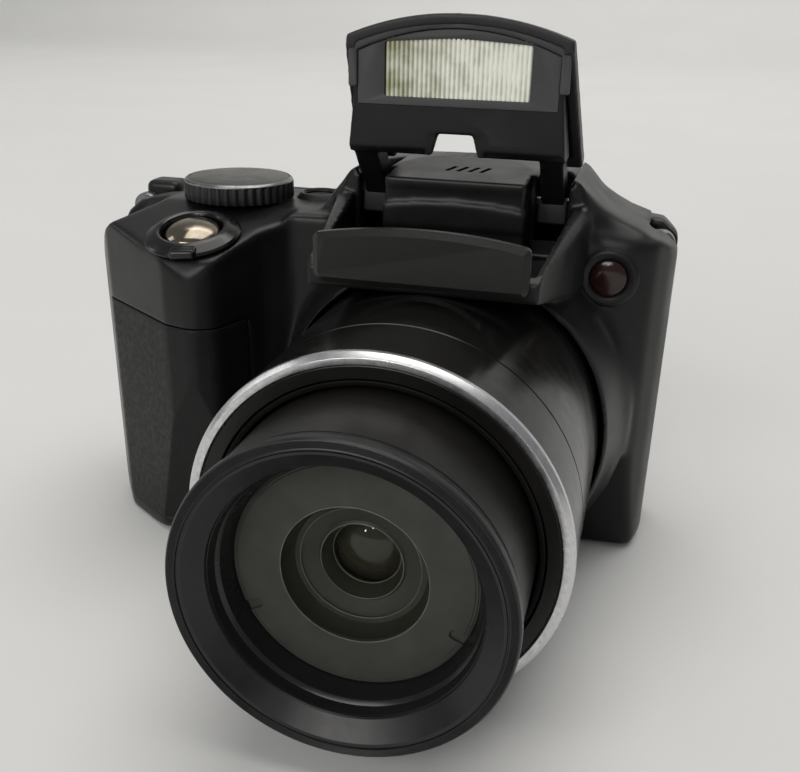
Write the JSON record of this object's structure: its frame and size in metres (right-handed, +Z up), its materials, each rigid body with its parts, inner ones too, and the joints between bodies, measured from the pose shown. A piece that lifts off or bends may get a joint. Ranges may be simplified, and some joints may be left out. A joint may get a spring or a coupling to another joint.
{
  "type": "bridge camera",
  "caption": "Black compact bridge camera with a deep grip, a long zoom lens that slides out, a raised pop-up flash, top dial and rear buttons.",
  "frame": {"origin": "centre of the tripod socket's mouth, in the plane of the base", "axes": "+Z up, -Y the way the lens looks, -X towards the grip; the lens axis lies in the plane X = 0"},
  "size_m": [0.104, 0.0927, 0.0924],
  "materials": {
    "body_plastic": "fine-grained satin black moulding",
    "grip_skin": "fine-grained soft black skin",
    "flap_rubber": "matt black flap",
    "barrel_gloss": "glossy black moulding",
    "rim_satin": "satin black turned face",
    "cover_grey": "flat dark grey",
    "inner_black": "matt black moulding",
    "button_plastic": "smooth satin black",
    "trim_silver": "satin silver",
    "button_chrome": "satin chrome dome",
    "steel": "plain bright steel",
    "lens_glass": "coated lens glass",
    "screen_glass": "dark clear window",
    "flash_clear": "ribbed clear moulding",
    "reflector_bright": "bright formed sheet",
    "lamp_red": "clear dark red",
    "gear_white": "natural moulding",
    "board_green": "circuit board",
    "pack_grey": "plain label-free case"
  },
  "bodies": {
    "camera": {"front_cover": "body_plastic", "rear_cover": "body_plastic", "top_cover": "body_plastic", "base_plate": "body_plastic", "grip_pad": "grip_skin", "visor": "body_plastic", "af_lamp": "lamp_red", "strap_lugs": "steel", "terminal_sockets": "steel", "fixed_barrel": "barrel_gloss", "barrel_trim_ring": "trim_silver", "barrel_front_ring": "barrel_gloss", "zoom_motor": "steel", "lens_base": "inner_black", "sensor_unit": "board_green", "chassis": "steel", "main_board": "board_green", "lcd_panel": "pack_grey", "lcd_window": "screen_glass", "battery_holder": "inner_black", "battery": "pack_grey", "memory_card": "pack_grey", "door_pin": "steel", "flash_capacitor": "inner_black", "speaker": "inner_black", "tripod_bush": "steel", "case_screws": "steel", "shutter_spring": "steel", "release_board": "board_green", "flash_pin": "steel", "flash_spring": "steel"},
    "flash_head": {"flash_cover": "body_plastic", "flash_case": "body_plastic", "flash_window": "flash_clear", "flash_reflector": "reflector_bright", "flash_tube": "flash_clear"},
    "lens_front": {"front_barrel": "barrel_gloss", "front_rim": "rim_satin", "lens_cover_ring": "cover_grey", "front_glass": "lens_glass", "inner_baffle": "inner_black", "second_lens": "lens_glass"},
    "lens_middle": {"middle_barrel": "barrel_gloss", "zoom_group": "inner_black"},
    "lens_cam": {"cam_ring": "inner_black"},
    "lens_gear": {"zoom_gear": "gear_white"},
    "lens_focus": {"focus_group": "inner_black"},
    "mode_dial": {"mode_dial": "body_plastic"},
    "shutter_button": {"shutter_button": "button_chrome"},
    "zoom_lever": {"zoom_lever": "barrel_gloss"},
    "power_button": {"power_button": "button_plastic"},
    "movie_button": {"movie_button": "button_plastic"},
    "playback_button": {"playback_button": "button_plastic"},
    "exposure_button": {"exposure_button": "button_plastic"},
    "menu_button": {"menu_button": "button_plastic"},
    "four_way_pad": {"four_way_pad": "button_plastic"},
    "set_button": {"set_button": "button_plastic"},
    "battery_door": {"battery_door": "body_plastic"},
    "terminal_cover": {"terminal_cover": "flap_rubber"}
  },
  "joints": [
    {"name": "flash_hinge", "type": "hinge", "parent": "camera", "child": "flash_head", "pos_m": [0, -0.004, 0.063], "axis": [1, 0, 0], "range_deg": [0, 62]},
    {"name": "zoom_slide", "type": "slide", "parent": "camera", "child": "lens_front", "axis": [0, -1, 0], "range_m": [-0.0117, 0.024]},
    {"name": "middle_slide", "type": "slide", "parent": "camera", "child": "lens_middle", "axis": [0, -1, 0], "range_m": [-0.00585, 0.012]},
    {"name": "cam_turn", "type": "hinge", "parent": "camera", "child": "lens_cam", "pos_m": [0, -0.03, 0.0274], "axis": [0, -1, 0], "range_deg": [-30, 61]},
    {"name": "gear_turn", "type": "hinge", "parent": "camera", "child": "lens_gear", "pos_m": [0.01956, -0.0078, 0.04696], "axis": [0, -1, 0], "range_deg": [-546, 267]},
    {"name": "focus_slide", "type": "slide", "parent": "camera", "child": "lens_focus", "axis": [0, -1, 0], "range_m": [0, 0.003]},
    {"name": "dial_turn", "type": "hinge", "parent": "camera", "child": "mode_dial", "pos_m": [-0.0424, -0.0032, 0.0603], "axis": [0, 0, 1], "continuous": true},
    {"name": "shutter_press", "type": "slide", "parent": "camera", "child": "shutter_button", "axis": [0, 0.2588, -0.9659], "range_m": [0, 0.0008], "stiffness_N_per_m": 1500, "springref_m": -0.0004},
    {"name": "lever_turn", "type": "hinge", "parent": "camera", "child": "zoom_lever", "pos_m": [-0.0436, -0.0208, 0.05657], "axis": [0, -0.2588, 0.9659], "range_deg": [-18, 18], "stiffness_Nm_per_rad": 0.02},
    {"name": "power_press", "type": "slide", "parent": "camera", "child": "power_button", "axis": [0, 0, -1], "range_m": [0, 0.0005], "stiffness_N_per_m": 2000, "springref_m": -0.0002},
    {"name": "movie_press", "type": "slide", "parent": "camera", "child": "movie_button", "axis": [0, -1, 0], "range_m": [0, 0.0004], "stiffness_N_per_m": 2500, "springref_m": -0.0002},
    {"name": "playback_press", "type": "slide", "parent": "camera", "child": "playback_button", "axis": [0, -1, 0], "range_m": [0, 0.0004], "stiffness_N_per_m": 2500, "springref_m": -0.0002},
    {"name": "exposure_press", "type": "slide", "parent": "camera", "child": "exposure_button", "axis": [0, -1, 0], "range_m": [0, 0.0004], "stiffness_N_per_m": 2500, "springref_m": -0.0002},
    {"name": "menu_press", "type": "slide", "parent": "camera", "child": "menu_button", "axis": [0, -1, 0], "range_m": [0, 0.0004], "stiffness_N_per_m": 2500, "springref_m": -0.0002},
    {"name": "pad_tilt", "type": "hinge", "parent": "camera", "child": "four_way_pad", "pos_m": [-0.0495, 0.0115, 0.022], "axis": [1, 0, 0], "range_deg": [-2, 2], "stiffness_Nm_per_rad": 0.3},
    {"name": "set_press", "type": "slide", "parent": "camera", "child": "set_button", "axis": [0, -1, 0], "range_m": [0, 0.0004], "stiffness_N_per_m": 2500, "springref_m": -0.0002},
    {"name": "door_hinge", "type": "hinge", "parent": "camera", "child": "battery_door", "pos_m": [-0.0309, -0.0012, 0.0009], "axis": [0, -1, 0], "range_deg": [0, 95]},
    {"name": "terminal_hinge", "type": "hinge", "parent": "camera", "child": "terminal_cover", "pos_m": [0.0354, 0.0076, 0.031], "axis": [0, 0, 1], "range_deg": [0, 100]}
  ],
  "couplings": [
    {"joint": "middle_slide", "follows": "zoom_slide", "ratio": 0.5},
    {"joint": "cam_turn", "follows": "zoom_slide", "rad_per_m": 44},
    {"joint": "gear_turn", "follows": "zoom_slide", "rad_per_m": -396}
  ]
}
